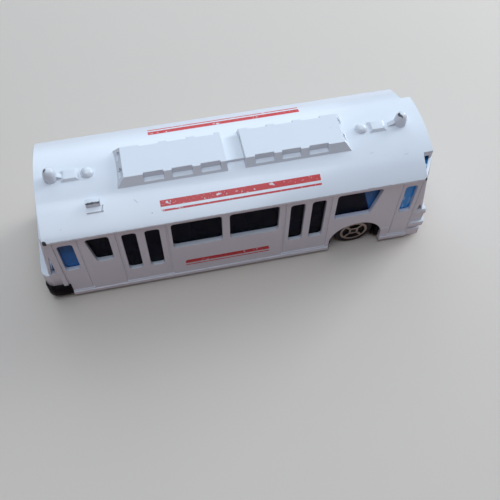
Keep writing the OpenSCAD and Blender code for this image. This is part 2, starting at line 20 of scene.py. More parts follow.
import bmesh
import bpy
from mathutils import Euler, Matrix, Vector


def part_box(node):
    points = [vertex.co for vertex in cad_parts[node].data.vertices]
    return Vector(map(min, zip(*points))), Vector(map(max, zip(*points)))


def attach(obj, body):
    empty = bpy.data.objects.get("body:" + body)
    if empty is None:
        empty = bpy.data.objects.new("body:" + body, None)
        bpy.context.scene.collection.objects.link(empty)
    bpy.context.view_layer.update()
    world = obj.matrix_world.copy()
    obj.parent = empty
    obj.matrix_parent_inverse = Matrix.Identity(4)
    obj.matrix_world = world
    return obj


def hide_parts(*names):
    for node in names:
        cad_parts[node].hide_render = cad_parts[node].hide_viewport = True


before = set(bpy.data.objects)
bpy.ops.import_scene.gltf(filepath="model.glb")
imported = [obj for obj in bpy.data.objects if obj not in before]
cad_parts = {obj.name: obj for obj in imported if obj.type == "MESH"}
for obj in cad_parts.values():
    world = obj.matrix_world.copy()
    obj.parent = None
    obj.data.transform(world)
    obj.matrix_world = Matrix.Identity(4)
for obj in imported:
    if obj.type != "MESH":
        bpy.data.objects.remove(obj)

MM = 0.001
LOG = logging.getLogger("toy_bus")
SHORT_RAYS = 4       # rays that a recess or a rounded edge is found with
NOISE_MIDDLE = 0.5   # value around which a noise pattern lies

Triple = tuple[float, float, float]
Colour = tuple[float, float, float]
Span = tuple[float, float]       # where a soft step is 0, and where it is 1


class Slot(Enum):
    """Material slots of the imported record."""

    ENAMEL = "white_enamel"
    GLAZING = "blue_glazing"
    MOULDING = "black_moulding"
    WIRE = "steel_wire"
    WHEEL = "wheel_plastic"


def dimmed(colour: Colour, share: float) -> Colour:
    """Returns the colour at a share of its strength."""
    return tuple(part * share for part in colour)


class Signal:
    """A number that runs through a shader's nodes and takes part in sums."""

    def __init__(self, graph: "Graph", socket: bpy.types.NodeSocket) -> None:
        """Keeps the socket and the graph that it belongs to."""
        self.graph = graph
        self.socket = socket

    def __add__(self, other: "Signal | float") -> "Signal":
        """Returns the sum."""
        return self.graph.math("ADD", self, other)

    def __radd__(self, other: float) -> "Signal":
        """Returns the sum with a plain number on the left."""
        return self.graph.math("ADD", other, self)

    def __sub__(self, other: "Signal | float") -> "Signal":
        """Returns the difference."""
        return self.graph.math("SUBTRACT", self, other)

    def __rsub__(self, other: float) -> "Signal":
        """Returns a plain number less this signal."""
        return self.graph.math("SUBTRACT", other, self)

    def __mul__(self, other: "Signal | float") -> "Signal":
        """Returns the product."""
        return self.graph.math("MULTIPLY", self, other)

    def __rmul__(self, other: float) -> "Signal":
        """Returns the product with a plain number on the left."""
        return self.graph.math("MULTIPLY", other, self)

    def __abs__(self) -> "Signal":
        """Returns the distance from zero."""
        return self.graph.math("ABSOLUTE", self)

    def at_least(self, other: "Signal | float") -> "Signal":
        """Returns the larger of the two."""
        return self.graph.math("MAXIMUM", self, other)

    def rise(self, low: float, high: float) -> "Signal":
        """Turns the signal into a soft step.

        Args:
            low: Value at which the step is 0.
            high: Value at which the step is 1. It may lie below low.

        Returns:
            A signal from 0 to 1.
        """
        start, stop = min(low, high), max(low, high)
        node = self.graph.node("ShaderNodeMapRange", {"interpolation_type": "SMOOTHSTEP"},
                               {"Value": self, "From Min": start, "From Max": stop})
        step = Signal(self.graph, node.outputs["Result"])
        return step if high > low else 1.0 - step

    def rise_at(self, low: float, high: float) -> "Signal":
        """Turns a length into a soft step, between two lengths in millimetres."""
        return self.rise(low * MM, high * MM)

    def within(self, low: float, high: float, soft: float) -> "Signal":
        """Tells where a length lies between two others.

        Args:
            low: Lower length in millimetres.
            high: Upper length in millimetres.
            soft: Width of the edges in millimetres.

        Returns:
            A signal that is 1 between the lengths and 0 beyond them.
        """
        half = soft / 2
        return self.rise_at(low - half, low + half) * self.rise_at(high + half, high - half)


class Graph:
    """Node tree of one material, built from values and expressions."""

    def __init__(self, name: str) -> None:
        """Makes an empty material.

        Args:
            name: Name of the material.
        """
        self.material = bpy.data.materials.new(name)
        self.material.use_nodes = True
        self.tree = self.material.node_tree
        self.tree.nodes.clear()
        self.place = self.node("ShaderNodeTexCoord").outputs["Object"]
        split = self.node("ShaderNodeSeparateXYZ", sockets={"Vector": self.place})
        self.x, self.y, self.z = (Signal(self, split.outputs[axis]) for axis in "XYZ")

    def node(self, kind: str, settings: dict | None = None, sockets: dict | None = None) -> bpy.types.Node:
        """Adds one node.

        Args:
            kind: Blender's type name of the node.
            settings: Properties to set before the sockets, such as an operation.
            sockets: Values, signals or sockets for the inputs, by name or by place.

        Returns:
            The new node.
        """
        node = self.tree.nodes.new(kind)
        for name, value in (settings or {}).items():
            setattr(node, name, value)
        for key, value in (sockets or {}).items():
            self._feed(node.inputs[key], value)
        return node

    def _feed(self, target: bpy.types.NodeSocket, value: object) -> None:
        """Links a signal or socket to an input, or sets a plain value on it.

        Args:
            target: The input.
            value: Signal, socket, number or tuple. A colour gets its alpha here.
        """
        if isinstance(value, Signal):
            value = value.socket
        if isinstance(value, bpy.types.NodeSocket):
            self.tree.links.new(value, target)
        elif isinstance(value, tuple) and target.type == "RGBA":
            target.default_value = (*value, 1.0)
        else:
            target.default_value = value

    def math(self, operation: str, *values: "Signal | float") -> Signal:
        """Returns the result of one Math node on the values."""
        node = self.node("ShaderNodeMath", {"operation": operation}, dict(enumerate(values)))
        return Signal(self, node.outputs[0])

    def vector(self, operation: str, *values: object, **named: object) -> bpy.types.Node:
        """Returns a Vector Math node, fed by place and by socket name."""
        sockets = dict(enumerate(values)) | named
        return self.node("ShaderNodeVectorMath", {"operation": operation}, sockets)

    def mix(self, share: Signal, first: object, second: object) -> bpy.types.NodeSocket:
        """Blends two colours.

        Args:
            share: How much of the second colour shows, from 0 to 1.
            first: Colour or colour socket at share 0.
            second: Colour or colour socket at share 1.

        Returns:
            The blended colour's socket.
        """
        factor, low, high, result = 0, 6, 7, 2
        node = self.node("ShaderNodeMix", {"data_type": "RGBA"}, {factor: share, low: first, high: second})
        return node.outputs[result]

    def blend(self, share: Signal, first: bpy.types.NodeSocket,
              second: bpy.types.NodeSocket) -> bpy.types.NodeSocket:
        """Returns a shader that goes from the first to the second as share goes from 0 to 1."""
        return self.node("ShaderNodeMixShader", sockets={0: share, 1: first, 2: second}).outputs["Shader"]

    def distance(self, point: Triple) -> Signal:
        """Returns the distance in metres from a point given in millimetres."""
        node = self.vector("DISTANCE", self.place, tuple(Vector(point) * MM))
        return Signal(self, node.outputs["Value"])

    def distance_to_line(self, start: Triple, end: Triple) -> Signal:
        """Measures the distance from a line between two points.

        Args:
            start: First end of the line in millimetres.
            end: Other end of the line in millimetres.

        Returns:
            The distance in metres.
        """
        first, run = Vector(start) * MM, (Vector(end) - Vector(start)) * MM
        from_start = self.vector("SUBTRACT", self.place, tuple(first)).outputs[0]
        along = self.vector("DOT_PRODUCT", from_start, tuple(run / run.length_squared)).outputs["Value"]
        share = self.node("ShaderNodeClamp", sockets={"Value": along}).outputs[0]
        nearest = self.vector("SCALE", tuple(run), Scale=share).outputs[0]
        gap = self.vector("DISTANCE", from_start, nearest)
        return Signal(self, gap.outputs["Value"])

    def facing_up(self) -> Signal:
        """Tells how far the true surface faces up in the object's own axes.

        Returns:
            A signal from -1, facing down, to 1, facing up.
        """
        geometry = self.node("ShaderNodeNewGeometry")
        turned = self.node("ShaderNodeVectorTransform",
                           {"vector_type": "NORMAL", "convert_from": "WORLD", "convert_to": "OBJECT"},
                           {"Vector": geometry.outputs["True Normal"]})
        split = self.node("ShaderNodeSeparateXYZ", sockets={"Vector": turned.outputs[0]})
        return Signal(self, split.outputs["Z"])

    def recess(self, reach: float) -> Signal:
        """Returns how shut in the surface is by its own shape within reach millimetres, from 0 to 1."""
        node = self.node("ShaderNodeAmbientOcclusion", {"samples": SHORT_RAYS, "only_local": True},
                         {"Distance": reach * MM})
        return 1.0 - Signal(self, node.outputs["AO"])

    def rounded(self, radius: float) -> bpy.types.NodeSocket:
        """Returns the surface's normal, with edges rounded to a radius in millimetres."""
        node = self.node("ShaderNodeBevel", {"samples": SHORT_RAYS}, {"Radius": radius * MM})
        return node.outputs["Normal"]

    def bump(self, height: Signal, depth: float,
             below: bpy.types.NodeSocket | None = None) -> bpy.types.NodeSocket:
        """Turns a height into a bumped normal.

        Args:
            height: Height in units of the depth.
            depth: What a height of 1 is in millimetres.
            below: Normal that it is added to.

        Returns:
            The normal's socket.
        """
        sockets = {"Height": height, "Distance": depth * MM, "Strength": 1.0}
        if below is not None:
            sockets["Normal"] = below
        return self.node("ShaderNodeBump", sockets=sockets).outputs["Normal"]

    def ray(self, kind: str) -> Signal:
        """Returns 1 where the light path is of a kind, such as Is Camera Ray, and 0 elsewhere."""
        return Signal(self, self.node("ShaderNodeLightPath").outputs[kind])

    def shader(self, **sockets: object) -> bpy.types.NodeSocket:
        """Returns a Principled shader, fed by socket names with _ for each space."""
        named = {name.replace("_", " "): value for name, value in sockets.items()}
        return self.node("ShaderNodeBsdfPrincipled", sockets=named).outputs["BSDF"]

    def finish(self, surface: bpy.types.NodeSocket) -> bpy.types.Material:
        """Connects the surface and returns the material."""
        self.node("ShaderNodeOutputMaterial", sockets={"Surface": surface})
        return self.material


@dataclass(frozen=True)
class Pattern:
    """Noise over a surface.

    Attributes:
        grain: Size of its largest blobs in millimetres.
        detail: How many finer layers it has.
        shift: Offset in millimetres, so that two patterns differ.
        stretch: Scale of the place along each axis, below 1 where the blobs are drawn out.
        span: Values of the noise that become 0 and 1, where it makes patches.
    """

    grain: float
    detail: float = 2.0
    shift: float = 0.0
    stretch: Triple = (1.0, 1.0, 1.0)
    span: Span | None = None

    def on(self, graph: Graph) -> Signal:
        """Adds the pattern to a material.

        Args:
            graph: Material that it belongs to.

        Returns:
            A signal around 0.5, or patches from 0 to 1 where the pattern has a span.
        """
        moved = graph.vector("MULTIPLY_ADD", graph.place, self.stretch, (self.shift * MM,) * 3)
        sockets = {"Vector": moved.outputs[0], "Scale": 1 / (self.grain * MM), "Detail": self.detail}
        node = graph.node("ShaderNodeTexNoise", {"noise_dimensions": "3D"}, sockets)
        noise = Signal(graph, node.outputs[0])
        return noise.rise(*self.span) if self.span else noise


@dataclass(frozen=True)
class Chip:
    """A spot or line where the paint is worn through.

    Attributes:
        start: Its place, or one end of the line, in millimetres.
        radius: Half its width in millimetres.
        end: Other end of the line.
        bare: Share of the metal that shows in it.
        ragged: How far the noise moves its outline, in radii.
        soft: Width of its edge, in radii.
    """

    start: Triple
    radius: float
    end: Triple | None = None
    bare: float = 1.0
    ragged: float = 2.2
    soft: float = 0.2

    def mask(self, graph: Graph, noise: Signal) -> Signal:
        """Marks the worn paint.

        Args:
            graph: Material that it belongs to.
            noise: Noise that breaks up its outline.

        Returns:
            A signal from 0 to the share that is bare.
        """
        gap = graph.distance_to_line(self.start, self.end) if self.end else graph.distance(self.start)
        size = self.radius * MM
        worn = gap + (noise - NOISE_MIDDLE) * (self.ragged * size)
        return worn.rise(size, (1.0 - self.soft) * size) * self.bare


@dataclass(frozen=True)
class Stripe:
    """A printed bar: ends along the bus, edges across the roof or up the wall, and softness."""

    ends: tuple[float, float]
    edges: tuple[float, float]
    soft: float = 0.07

    def mask(self, along: Signal, across: Signal) -> Signal:
        """Returns 1 on the bar and 0 beside it, from places along the bus and across the bar."""
        return along.within(*self.ends, self.soft) * across.within(*self.edges, self.soft)


@dataclass(frozen=True)
class Enamel:
    """Gloss white enamel on cast zinc, with plain red stripes, dark specks, painted shade with some dust
    in its recesses, and a few chips.
    """

    white: Colour = (0.77, 0.80, 0.87)
    # Grey of the dark specks, and of the painted shade in recesses.
    grime_and_shade: Colour = (0.36, 0.33, 0.34)
    metal: Colour = (0.03, 0.03, 0.038)
    red: Colour = (0.62, 0.003, 0.008)
    cloud: Pattern = Pattern(9.0, 3.0, span=(0.35, 0.7))
    cloud_white: float = 0.93
    cloud_share: float = 0.25
    # Painted shade with some dust: the recess fields and the dust pattern darken the enamel where it is
    # shut in, in grooves and corners.
    recess_reach: float = 0.5
    recess_span: Span = (0.5, 1.0)
    dust: Pattern = Pattern(1.4, 3.0, shift=3.0, span=(0.2, 0.75))
    dust_share: float = 0.15
    dust_rough: float = 0.25
    speck_cell: float = 5.0
    speck_span: Span = (0.026, 0.014)
    speck_share: float = 0.45
    print_share: float = 0.97
    print_rough: float = 0.16
    print_height: float = 0.4
    print_wear: Pattern = Pattern(1.1, 5.0, shift=17.0, span=(0.62, 0.68))
    print_pits: Pattern = Pattern(0.25, 2.0, shift=21.0, span=(0.66, 0.72))
    print_loss: float = 0.85
    bare_rough: float = 0.36
    bare_metallic: float = 0.3
    chip_outline: Pattern = Pattern(0.55, 3.0, shift=5.0)
    chip_depth: float = 0.03
    roughness: float = 0.22
    smear: Pattern = Pattern(4.5, 4.0, shift=7.0, stretch=(0.5, 1.0, 1.0), span=(0.42, 0.72))
    smear_rough: float = 0.05
    peel: Pattern = Pattern(0.9, 1.0, shift=11.0)
    peel_depth: float = 0.006
    edge: float = 0.13
    coat: float = 0.35
    coat_under_print: float = 0.02
    coat_roughness: float = 0.09
    roof_foot: Span = (22.9, 23.0)
    wall_face: Span = (11.8, 11.85)
    roof_stripes: tuple[Stripe, ...] = (
        Stripe((-15.5, 16.5), (8.3, 9.5)),
        Stripe((-15.5, 16.5), (10.0, 10.35)),
    )
    wall_stripes: tuple[Stripe, ...] = (
        Stripe((-12.3, 6.0), (5.6, 6.9)),
        Stripe((-12.3, 6.0), (4.75, 5.1)),
    )
    chips: tuple[Chip, ...] = (
        Chip((-38.3, -12.3, 22.65), 0.62, ragged=0.7),
        Chip((37.95, -12.35, 22.8), 0.3, end=(37.95, -12.4, 22.4)),
        Chip((38.1, -11.3, 23.0), 0.2, end=(38.2, -10.2, 23.5), bare=0.7),
        Chip((34.75, 0.1, 29.15), 0.3, end=(35.0, -0.5, 29.2), bare=0.9),
        Chip((35.1, -0.6, 29.15), 0.22, end=(35.5, -1.25, 28.9), bare=0.8),
        Chip((-36.0, 0.0, 29.15), 0.4, bare=0.8),
        Chip((-29.2, -7.55, 26.5), 0.34, end=(-28.2, -7.45, 26.5), bare=0.9),
        Chip((-27.7, -7.5, 26.5), 0.3, end=(-26.9, -7.5, 26.45), bare=0.85),
        Chip((-26.6, -8.55, 25.2), 0.14, end=(-26.3, -7.4, 25.2), bare=0.6),
        Chip((-22.4, 3.57, 27.3), 0.28, end=(-21.9, 2.4, 27.5), bare=0.8),
        Chip((-22.3, -0.74, 27.3), 0.28, end=(-21.8, -2.2, 27.5), bare=0.75),
        Chip((23.0, -1.5, 27.1), 0.3, bare=0.6),
        Chip((23.5, 2.4, 26.6), 0.2, end=(23.3, 3.4, 26.8), bare=0.35),
        Chip((34.85, -7.4, 25.35), 0.13, bare=0.8),
        Chip((41.9, -11.4, 5.6), 0.25, bare=0.6),
        Chip((27.6, -5.9, 25.66), 0.2, end=(28.2, -5.85, 25.66), bare=0.14),
        Chip((34.6, -7.25, 25.28), 0.2, end=(35.1, -7.3, 25.28), bare=0.16),
        Chip((-20.24, -7.33, 25.24), 0.1, end=(-19.71, -7.97, 25.04), bare=0.3),
        Chip((-17.33, -10.28, 24.08), 0.12, bare=0.5),
        Chip((-34.74, -10.55, 23.94), 0.12, bare=0.3),
        Chip((-37.0, -12.45, 22.85), 0.08, end=(37.0, -12.45, 22.85), bare=0.25, ragged=5.0),
    )

    def build(self) -> bpy.types.Material:
        """Makes the material.

        Returns:
            The material.
        """
        graph = Graph(Slot.ENAMEL.value)
        bare = self._bare(graph)
        print_left = self._print(graph) * (1.0 - bare)
        # Painted shade, patchy like dust, in grooves and corners; it also makes them rougher.
        grey_patches = graph.recess(self.recess_reach).rise(*self.recess_span) * self.dust.on(graph)
        tone = graph.mix(self.cloud.on(graph) * self.cloud_share, self.white,
                         dimmed(self.white, self.cloud_white))
        tone = graph.mix(grey_patches * self.dust_share, tone, self.grime_and_shade)
        tone = graph.mix(self._specks(graph) * self.speck_share, tone, self.grime_and_shade)
        tone = graph.mix(print_left * self.print_share, tone, self.red)
        tone = graph.mix(bare, tone, self.metal)
        rough = self.roughness + self.smear.on(graph) * self.smear_rough + grey_patches * self.dust_rough
        rough = rough + bare * self.bare_rough + print_left * self.print_rough
        skin = graph.bump(self.peel.on(graph), self.peel_depth, below=graph.rounded(self.edge))
        skin = graph.bump(print_left * self.print_height - bare, self.chip_depth, below=skin)
        coat = self.coat - print_left * (self.coat - self.coat_under_print)
        return graph.finish(graph.shader(
            Base_Color=tone, Roughness=rough, Metallic=bare * self.bare_metallic, Normal=skin,
            Coat_Weight=coat, Coat_Roughness=self.coat_roughness))

    def _bare(self, graph: Graph) -> Signal:
        """Returns where the paint is gone."""
        outline = self.chip_outline.on(graph)
        return reduce(Signal.at_least, [chip.mask(graph, outline) for chip in self.chips])

    def _specks(self, graph: Graph) -> Signal:
        """Returns tiny dark specks that lie in the paint."""
        cells = graph.node("ShaderNodeTexVoronoi", {"feature": "F1"},
                           {"Vector": graph.place, "Scale": 1 / (self.speck_cell * MM)})
        return Signal(graph, cells.outputs["Distance"]).rise(*self.speck_span)

    def _print(self, graph: Graph) -> Signal:
        """Marks the red print.

        Args:
            graph: Material that it belongs to.

        Returns:
            A signal that is 1 where the print covers the white, and less in its worn spots.
        """
        side = abs(graph.y)
        on_roof = graph.z.rise_at(*self.roof_foot)
        on_wall = side.rise_at(*self.wall_face) * (1.0 - on_roof)
        on_either = [stripe.mask(graph.x, side) * on_roof for stripe in self.roof_stripes]
        on_either += [stripe.mask(graph.x, graph.z) * on_wall for stripe in self.wall_stripes]
        worn = self.print_wear.on(graph).at_least(self.print_pits.on(graph))
        return sum(on_either) * (1.0 - worn * self.print_loss)


@dataclass(frozen=True)
class BlueGlass:
    """Clear blue moulded plastic with smudges and the mould's faint waves.

    At its thick ends it is mixed with a solid blue, a painted glow that stands in for light coming through
    the glass. The solid blue has painted light at the nose, with painted highlights in streaks there, and
    painted shade elsewhere, darker at the top and lighter towards the foot.
    """

    tint: Colour = (0.04, 0.2, 0.6)
    shade: Colour = (0.12, 0.3, 0.7)
    # The next three colours are painted light: the glow of the thick ends, its brighter blue at the nose,
    # and the painted highlight in its streaks.
    glow: Colour = (0.03, 0.33, 0.98)
    pale: Colour = (0.05, 0.42, 1.0)
    painted_highlight: Colour = (0.6, 0.85, 1.0)
    bend: float = 1.15
    sheen: float = 0.25
    smudge: Pattern = Pattern(3.0, 4.0, stretch=(1.0, 1.0, 0.6), span=(0.5, 0.75))
    smudge_tint: float = 0.85
    smudge_share: float = 0.35
    smudge_rough: float = 0.1
    scratch: Pattern = Pattern(0.4, 2.0, shift=4.0, stretch=(0.15, 1.0, 1.0), span=(0.66, 0.74))
    scratch_rough: float = 0.12
    roughness: float = 0.03
    waves: Pattern = Pattern(4.0, 1.0, shift=9.0)
    wave_depth: float = 0.02
    # The next fields place painted light and shade in the solid blue: brighter at the nose, darker at the
    # top, lighter towards the foot, patchy in clouds, and with painted highlights at the nose.
    nose: Span = (32.5, 33.5)
    nose_light: float = 0.8
    top: Span = (21.6, 22.4)
    foot: Span = (18.0, 15.0)
    foot_light: float = 0.35
    cloud: Pattern = Pattern(2.6, 2.0, shift=14.0, stretch=(1.0, 1.0, 0.35), span=(0.75, 0.25))
    cloud_light: float = 0.25
    deep_glow: float = 0.2
    streaks: Pattern = Pattern(1.3, 2.0, shift=19.0, stretch=(1.0, 1.0, 0.2), span=(0.56, 0.68))
    highlight_share: float = 0.85
    coat: float = 0.5
    coat_roughness: float = 0.05
    # Where the painted glow takes the place of the clear glass, at the front and at the rear.
    front_end: Span = (25.15, 25.65)
    front_share: float = 0.95
    slant: float = 0.3
    slant_foot: float = 21.0
    rear_end: Span = (-32.6, -33.2)
    rear_share: float = 0.85

    def build(self) -> bpy.types.Material:
        """Makes the material.

        Returns:
            The material.
        """
        graph = Graph(Slot.GLAZING.value)
        smudge = self.smudge.on(graph)
        rough = self.roughness + smudge * self.smudge_rough + self.scratch.on(graph) * self.scratch_rough
        tone = graph.mix(smudge * self.smudge_share, self.tint, dimmed(self.tint, self.smudge_tint))
        waves = graph.bump(self.waves.on(graph), self.wave_depth)
        clear = graph.shader(Base_Color=tone, Roughness=rough, Normal=waves, IOR=self.bend,
                             Transmission_Weight=1.0, Specular_IOR_Level=self.sheen)
        # Painted glow: a solid blue lit by the lamps, standing in for light coming through the glass.
        solid = graph.shader(Base_Color=self._painted_glow_blue(graph), Roughness=rough, Normal=waves, IOR=self.bend,
                             Coat_Weight=self.coat, Coat_Roughness=self.coat_roughness)
        glass = graph.blend(self._ends(graph), clear, solid)
        shadow = graph.node("ShaderNodeBsdfTransparent", sockets={"Color": self.shade}).outputs["BSDF"]
        return graph.finish(graph.blend(graph.ray("Is Shadow Ray"), glass, shadow))

    def _painted_glow_blue(self, graph: Graph) -> bpy.types.NodeSocket:
        """Works out the solid blue, which is painted light and shade.

        Args:
            graph: Material that it belongs to.

        Returns:
            The colour's socket.
        """
        nose = graph.x.rise_at(*self.nose)
        # Painted shade: darker away from the nose and at the top, patchy in clouds, and less towards the
        # foot.
        painted_shade = (1.0 - nose * self.nose_light).at_least(graph.z.rise_at(*self.top))
        painted_shade = painted_shade * ((1.0 - self.cloud_light) + self.cloud.on(graph) * self.cloud_light)
        painted_shade = painted_shade * (1.0 - graph.z.rise_at(*self.foot) * self.foot_light)
        # Painted light: the glow is brighter at the nose.
        blue = graph.mix(nose, self.glow, self.pale)
        blue = graph.mix(painted_shade, blue, dimmed(self.glow, self.deep_glow))
        # Painted highlights in streaks at the nose.
        return graph.mix(self.streaks.on(graph) * nose * self.highlight_share, blue, self.painted_highlight)

    def _ends(self, graph: Graph) -> Signal:
        """Returns how much of the painted glow shows: not at all in the middle, and mostly at both ends.
        """
        slanted = graph.x + (graph.z - self.slant_foot * MM) * self.slant
        return (slanted.rise_at(*self.front_end) * self.front_share
                + graph.x.rise_at(*self.rear_end) * self.rear_share)


@dataclass(frozen=True)
class BlackMoulding:
    """Black moulded plastic with a fine grain, dust on what faces up and light scuffs below."""

    black: Colour = (0.008, 0.007, 0.009)
    dust: Colour = (0.16, 0.155, 0.15)
    sheen: float = 0.08
    bend: float = 1.3
    upward: Span = (0.3, 0.9)
    dusting: Pattern = Pattern(1.2, 4.0, span=(0.45, 0.7))
    dust_share: float = 0.12
    dust_rough: float = 0.5
    low: Span = (1.9, 1.6)
    scuffs: Pattern = Pattern(0.35, 3.0, shift=6.0, stretch=(0.08, 1.0, 1.0), span=(0.6, 0.72))
    scuff_share: float = 0.2
    scuff_rough: float = 0.2
    cloud: Pattern = Pattern(5.0, 3.0, shift=2.0, span=(0.35, 0.7))
    cloud_rough: float = 0.12
    roughness: float = 0.3
    grain: Pattern = Pattern(0.22, 2.0, shift=13.0)
    grain_depth: float = 0.008
    edge: float = 0.07
    pins: tuple[tuple[float, float], ...] = (
        (-20.0, 5.0), (-20.0, -5.0), (0.0, 5.0), (0.0, -5.0), (16.0, 5.0), (16.0, -5.0))
    pin_height: float = 1.5
    pin_radius: float = 1.4
    pin_rim: float = 0.12
    pin_soft: float = 0.08
    pin_depth: float = 0.05

    def build(self) -> bpy.types.Material:
        """Makes the material.

        Returns:
            The material.
        """
        graph = Graph(Slot.MOULDING.value)
        low = graph.z.rise_at(*self.low)
        grey_patches = graph.facing_up().rise(*self.upward) * self.dusting.on(graph) * self.dust_share
        scuff = self.scuffs.on(graph) * low
        tone = graph.mix(grey_patches, self.black, self.dust)
        tone = graph.mix(scuff * self.scuff_share, tone, self.dust)
        rough = self.roughness + self.cloud.on(graph) * self.cloud_rough + grey_patches * self.dust_rough
        rough = rough + scuff * self.scuff_rough
        skin = graph.bump(self.grain.on(graph), self.grain_depth, below=graph.rounded(self.edge))
        skin = graph.bump(self._pin_marks(graph) * low, self.pin_depth, below=skin)
        return graph.finish(graph.shader(Base_Color=tone, Roughness=rough, Normal=skin,
                                         Specular_IOR_Level=self.sheen, IOR=self.bend))

    def _pin_marks(self, graph: Graph) -> Signal:
        """Marks the rims that a mould's ejector pins leave in the underside.

        Args:
            graph: Material that it belongs to.

        Returns:
            A signal that is 1 on the rims.
        """
        inner, outer = self.pin_radius - self.pin_rim, self.pin_radius
        rims = [graph.distance((x, y, self.pin_height)).within(inner, outer, self.pin_soft)
                for x, y in self.pins]
        return reduce(Signal.at_least, rims)


@dataclass(frozen=True)
class FoiledWheel:
    """Black wheel plastic with a silvered relief on the hub's raised parts.

    Each span says where a part of the relief begins and where it is full, measured from
    the axle. The foil's depth is measured from the wheel's face instead, and the hub's
    rim from the hub's radius.
    """

    axle_x: float
    axle_height: float
    face: float
    hub_radius: float = 3.1
    black: Colour = (0.014, 0.014, 0.015)
    silver: Colour = (0.52, 0.48, 0.42)
    foil_depth: Span = (0.16, 0.14)
    hub_rim: Span = (0.03, -0.02)
    eye: Span = (0.62, 0.56)
    plate: Span = (1.09, 1.01)
    spoke: Span = (0.43, 0.35)
    ring: Span = (2.52, 2.58)
    wear: Pattern = Pattern(0.5, 4.0, span=(0.62, 0.7))
    wear_loss: float = 0.8
    cloud: Pattern = Pattern(1.1, 3.0, shift=5.0)
    cloud_silver: float = 0.8
    cloud_rough: float = 0.12
    roughness: float = 0.42
    foil_gloss: float = 0.14
    foil_metallic: float = 0.85
    sheen: float = 0.2
    grain: Pattern = Pattern(0.2, 2.0, shift=8.0)
    grain_depth: float = 0.008
    edge: float = 0.06

    def build(self, end: str) -> bpy.types.Material:
        """Makes the material of the wheels of one axle.

        Args:
            end: Which axle it is, for the material's name.

        Returns:
            The material.
        """
        graph = Graph(f"{Slot.WHEEL.value}_{end}")
        foil = self._foil(graph)
        cloud = self.cloud.on(graph)
        silver = graph.mix(cloud, self.silver, dimmed(self.silver, self.cloud_silver))
        tone = graph.mix(foil, self.black, silver)
        rough = self.roughness + cloud * self.cloud_rough - foil * self.foil_gloss
        skin = graph.bump(self.grain.on(graph), self.grain_depth, below=graph.rounded(self.edge))
        return graph.finish(graph.shader(Base_Color=tone, Roughness=rough, Normal=skin,
                                         Metallic=foil * self.foil_metallic,
                                         Specular_IOR_Level=self.sheen))

    def _foil(self, graph: Graph) -> Signal:
        """Marks the silvered relief: a ring, four spokes and a square plate with a dark eye.

        Args:
            graph: Material that it belongs to.

        Returns:
            A signal that is 1 on the foil, and less in its worn spots.
        """
        away_x = graph.x - self.axle_x * MM
        away_z = graph.z - self.axle_height * MM
        radius = graph.math("SQRT", away_x * away_x + away_z * away_z)
        across, upright = abs(away_x), abs(away_z)
        square = across.at_least(upright)
        raised = abs(graph.y).rise_at(*(self.face - depth for depth in self.foil_depth))
        hub = radius.rise_at(*(self.hub_radius + rim for rim in self.hub_rim))
        kept = 1.0 - self.wear.on(graph) * self.wear_loss
        beside_eye = 1.0 - square.rise_at(*self.eye)
        spokes = abs(across - upright).rise_at(*self.spoke)
        ring, plate = radius.rise_at(*self.ring), square.rise_at(*self.plate)
        return raised * hub * kept * beside_eye * spokes.at_least(ring).at_least(plate)


@dataclass(frozen=True)
class DrawnWire:
    """Bright steel wire with the fine lines of the drawing die along it."""

    steel: Colour = (0.58, 0.57, 0.55)
    lines: Pattern = Pattern(0.12, 3.0, stretch=(1.0, 0.03, 1.0))
    line_rough: float = 0.18
    line_depth: float = 0.006
    stain: Pattern = Pattern(1.5, 3.0, shift=3.0, span=(0.55, 0.75))
    stain_steel: float = 0.6
    stain_share: float = 0.5
    stain_rough: float = 0.15
    roughness: float = 0.22

    def build(self) -> bpy.types.Material:
        """Makes the material.

        Returns:
            The material.
        """
        graph = Graph(Slot.WIRE.value)
        lines, stain = self.lines.on(graph), self.stain.on(graph)
        tone = graph.mix(stain * self.stain_share, self.steel, dimmed(self.steel, self.stain_steel))
        rough = self.roughness + lines * self.line_rough + stain * self.stain_rough
        return graph.finish(graph.shader(Base_Color=tone, Roughness=rough, Metallic=1.0,
                                         Normal=graph.bump(lines, self.line_depth)))


@dataclass(frozen=True)
class PaleFloor:
    """Plain pale matt board, whose bounce light is warmer than what the camera sees."""

    tone: Colour = (0.70, 0.62, 0.56)
    bounce: Colour = (0.50, 0.37, 0.34)
    cloud: Pattern = Pattern(60.0, 3.0)
    cloud_tone: float = 0.96
    cloud_share: float = 0.3
    cloud_rough: float = 0.1
    roughness: float = 0.62
    grain: Pattern = Pattern(0.7, 3.0)
    grain_depth: float = 0.01

    def build(self) -> bpy.types.Material:
        """Makes the material.

        Returns:
            The material.
        """
        graph = Graph("pale_floor")
        cloud = self.cloud.on(graph)
        tone = graph.mix(cloud * self.cloud_share, self.tone, dimmed(self.tone, self.cloud_tone))
        tone = graph.mix(graph.ray("Is Camera Ray"), self.bounce, tone)
        rough = self.roughness + cloud * self.cloud_rough
        return graph.finish(graph.shader(Base_Color=tone, Roughness=rough,
                                         Normal=graph.bump(self.grain.on(graph), self.grain_depth)))


@dataclass(frozen=True)
class ArchedSkin:
    """Round skin along the bus, all in millimetres.

    Attributes:
        middle: Height of its middle.
        radius: Its radius.
        lowest: Height of its lowest edge.
        near: How near to it a corner has to lie.
    """

    middle: float
    radius: float
    lowest: float
    near: float = 0.03

    def normal(self, corners: list[Vector]) -> list[Vector] | None:
        """Works out the true normals of a face of the skin.

        Args:
            corners: The face's corners in metres.

        Returns:
            One normal for each corner, or None if the face isn't part of the skin.
        """
        spokes = [Vector((0.0, corner.y, corner.z - self.middle * MM)) for corner in corners]
        on_skin = all(abs(spoke.length - self.radius * MM) < self.near * MM for spoke in spokes)
        high = all(corner.z > self.lowest * MM for corner in corners)
        return [spoke.normalized() for spoke in spokes] if on_skin and high else None


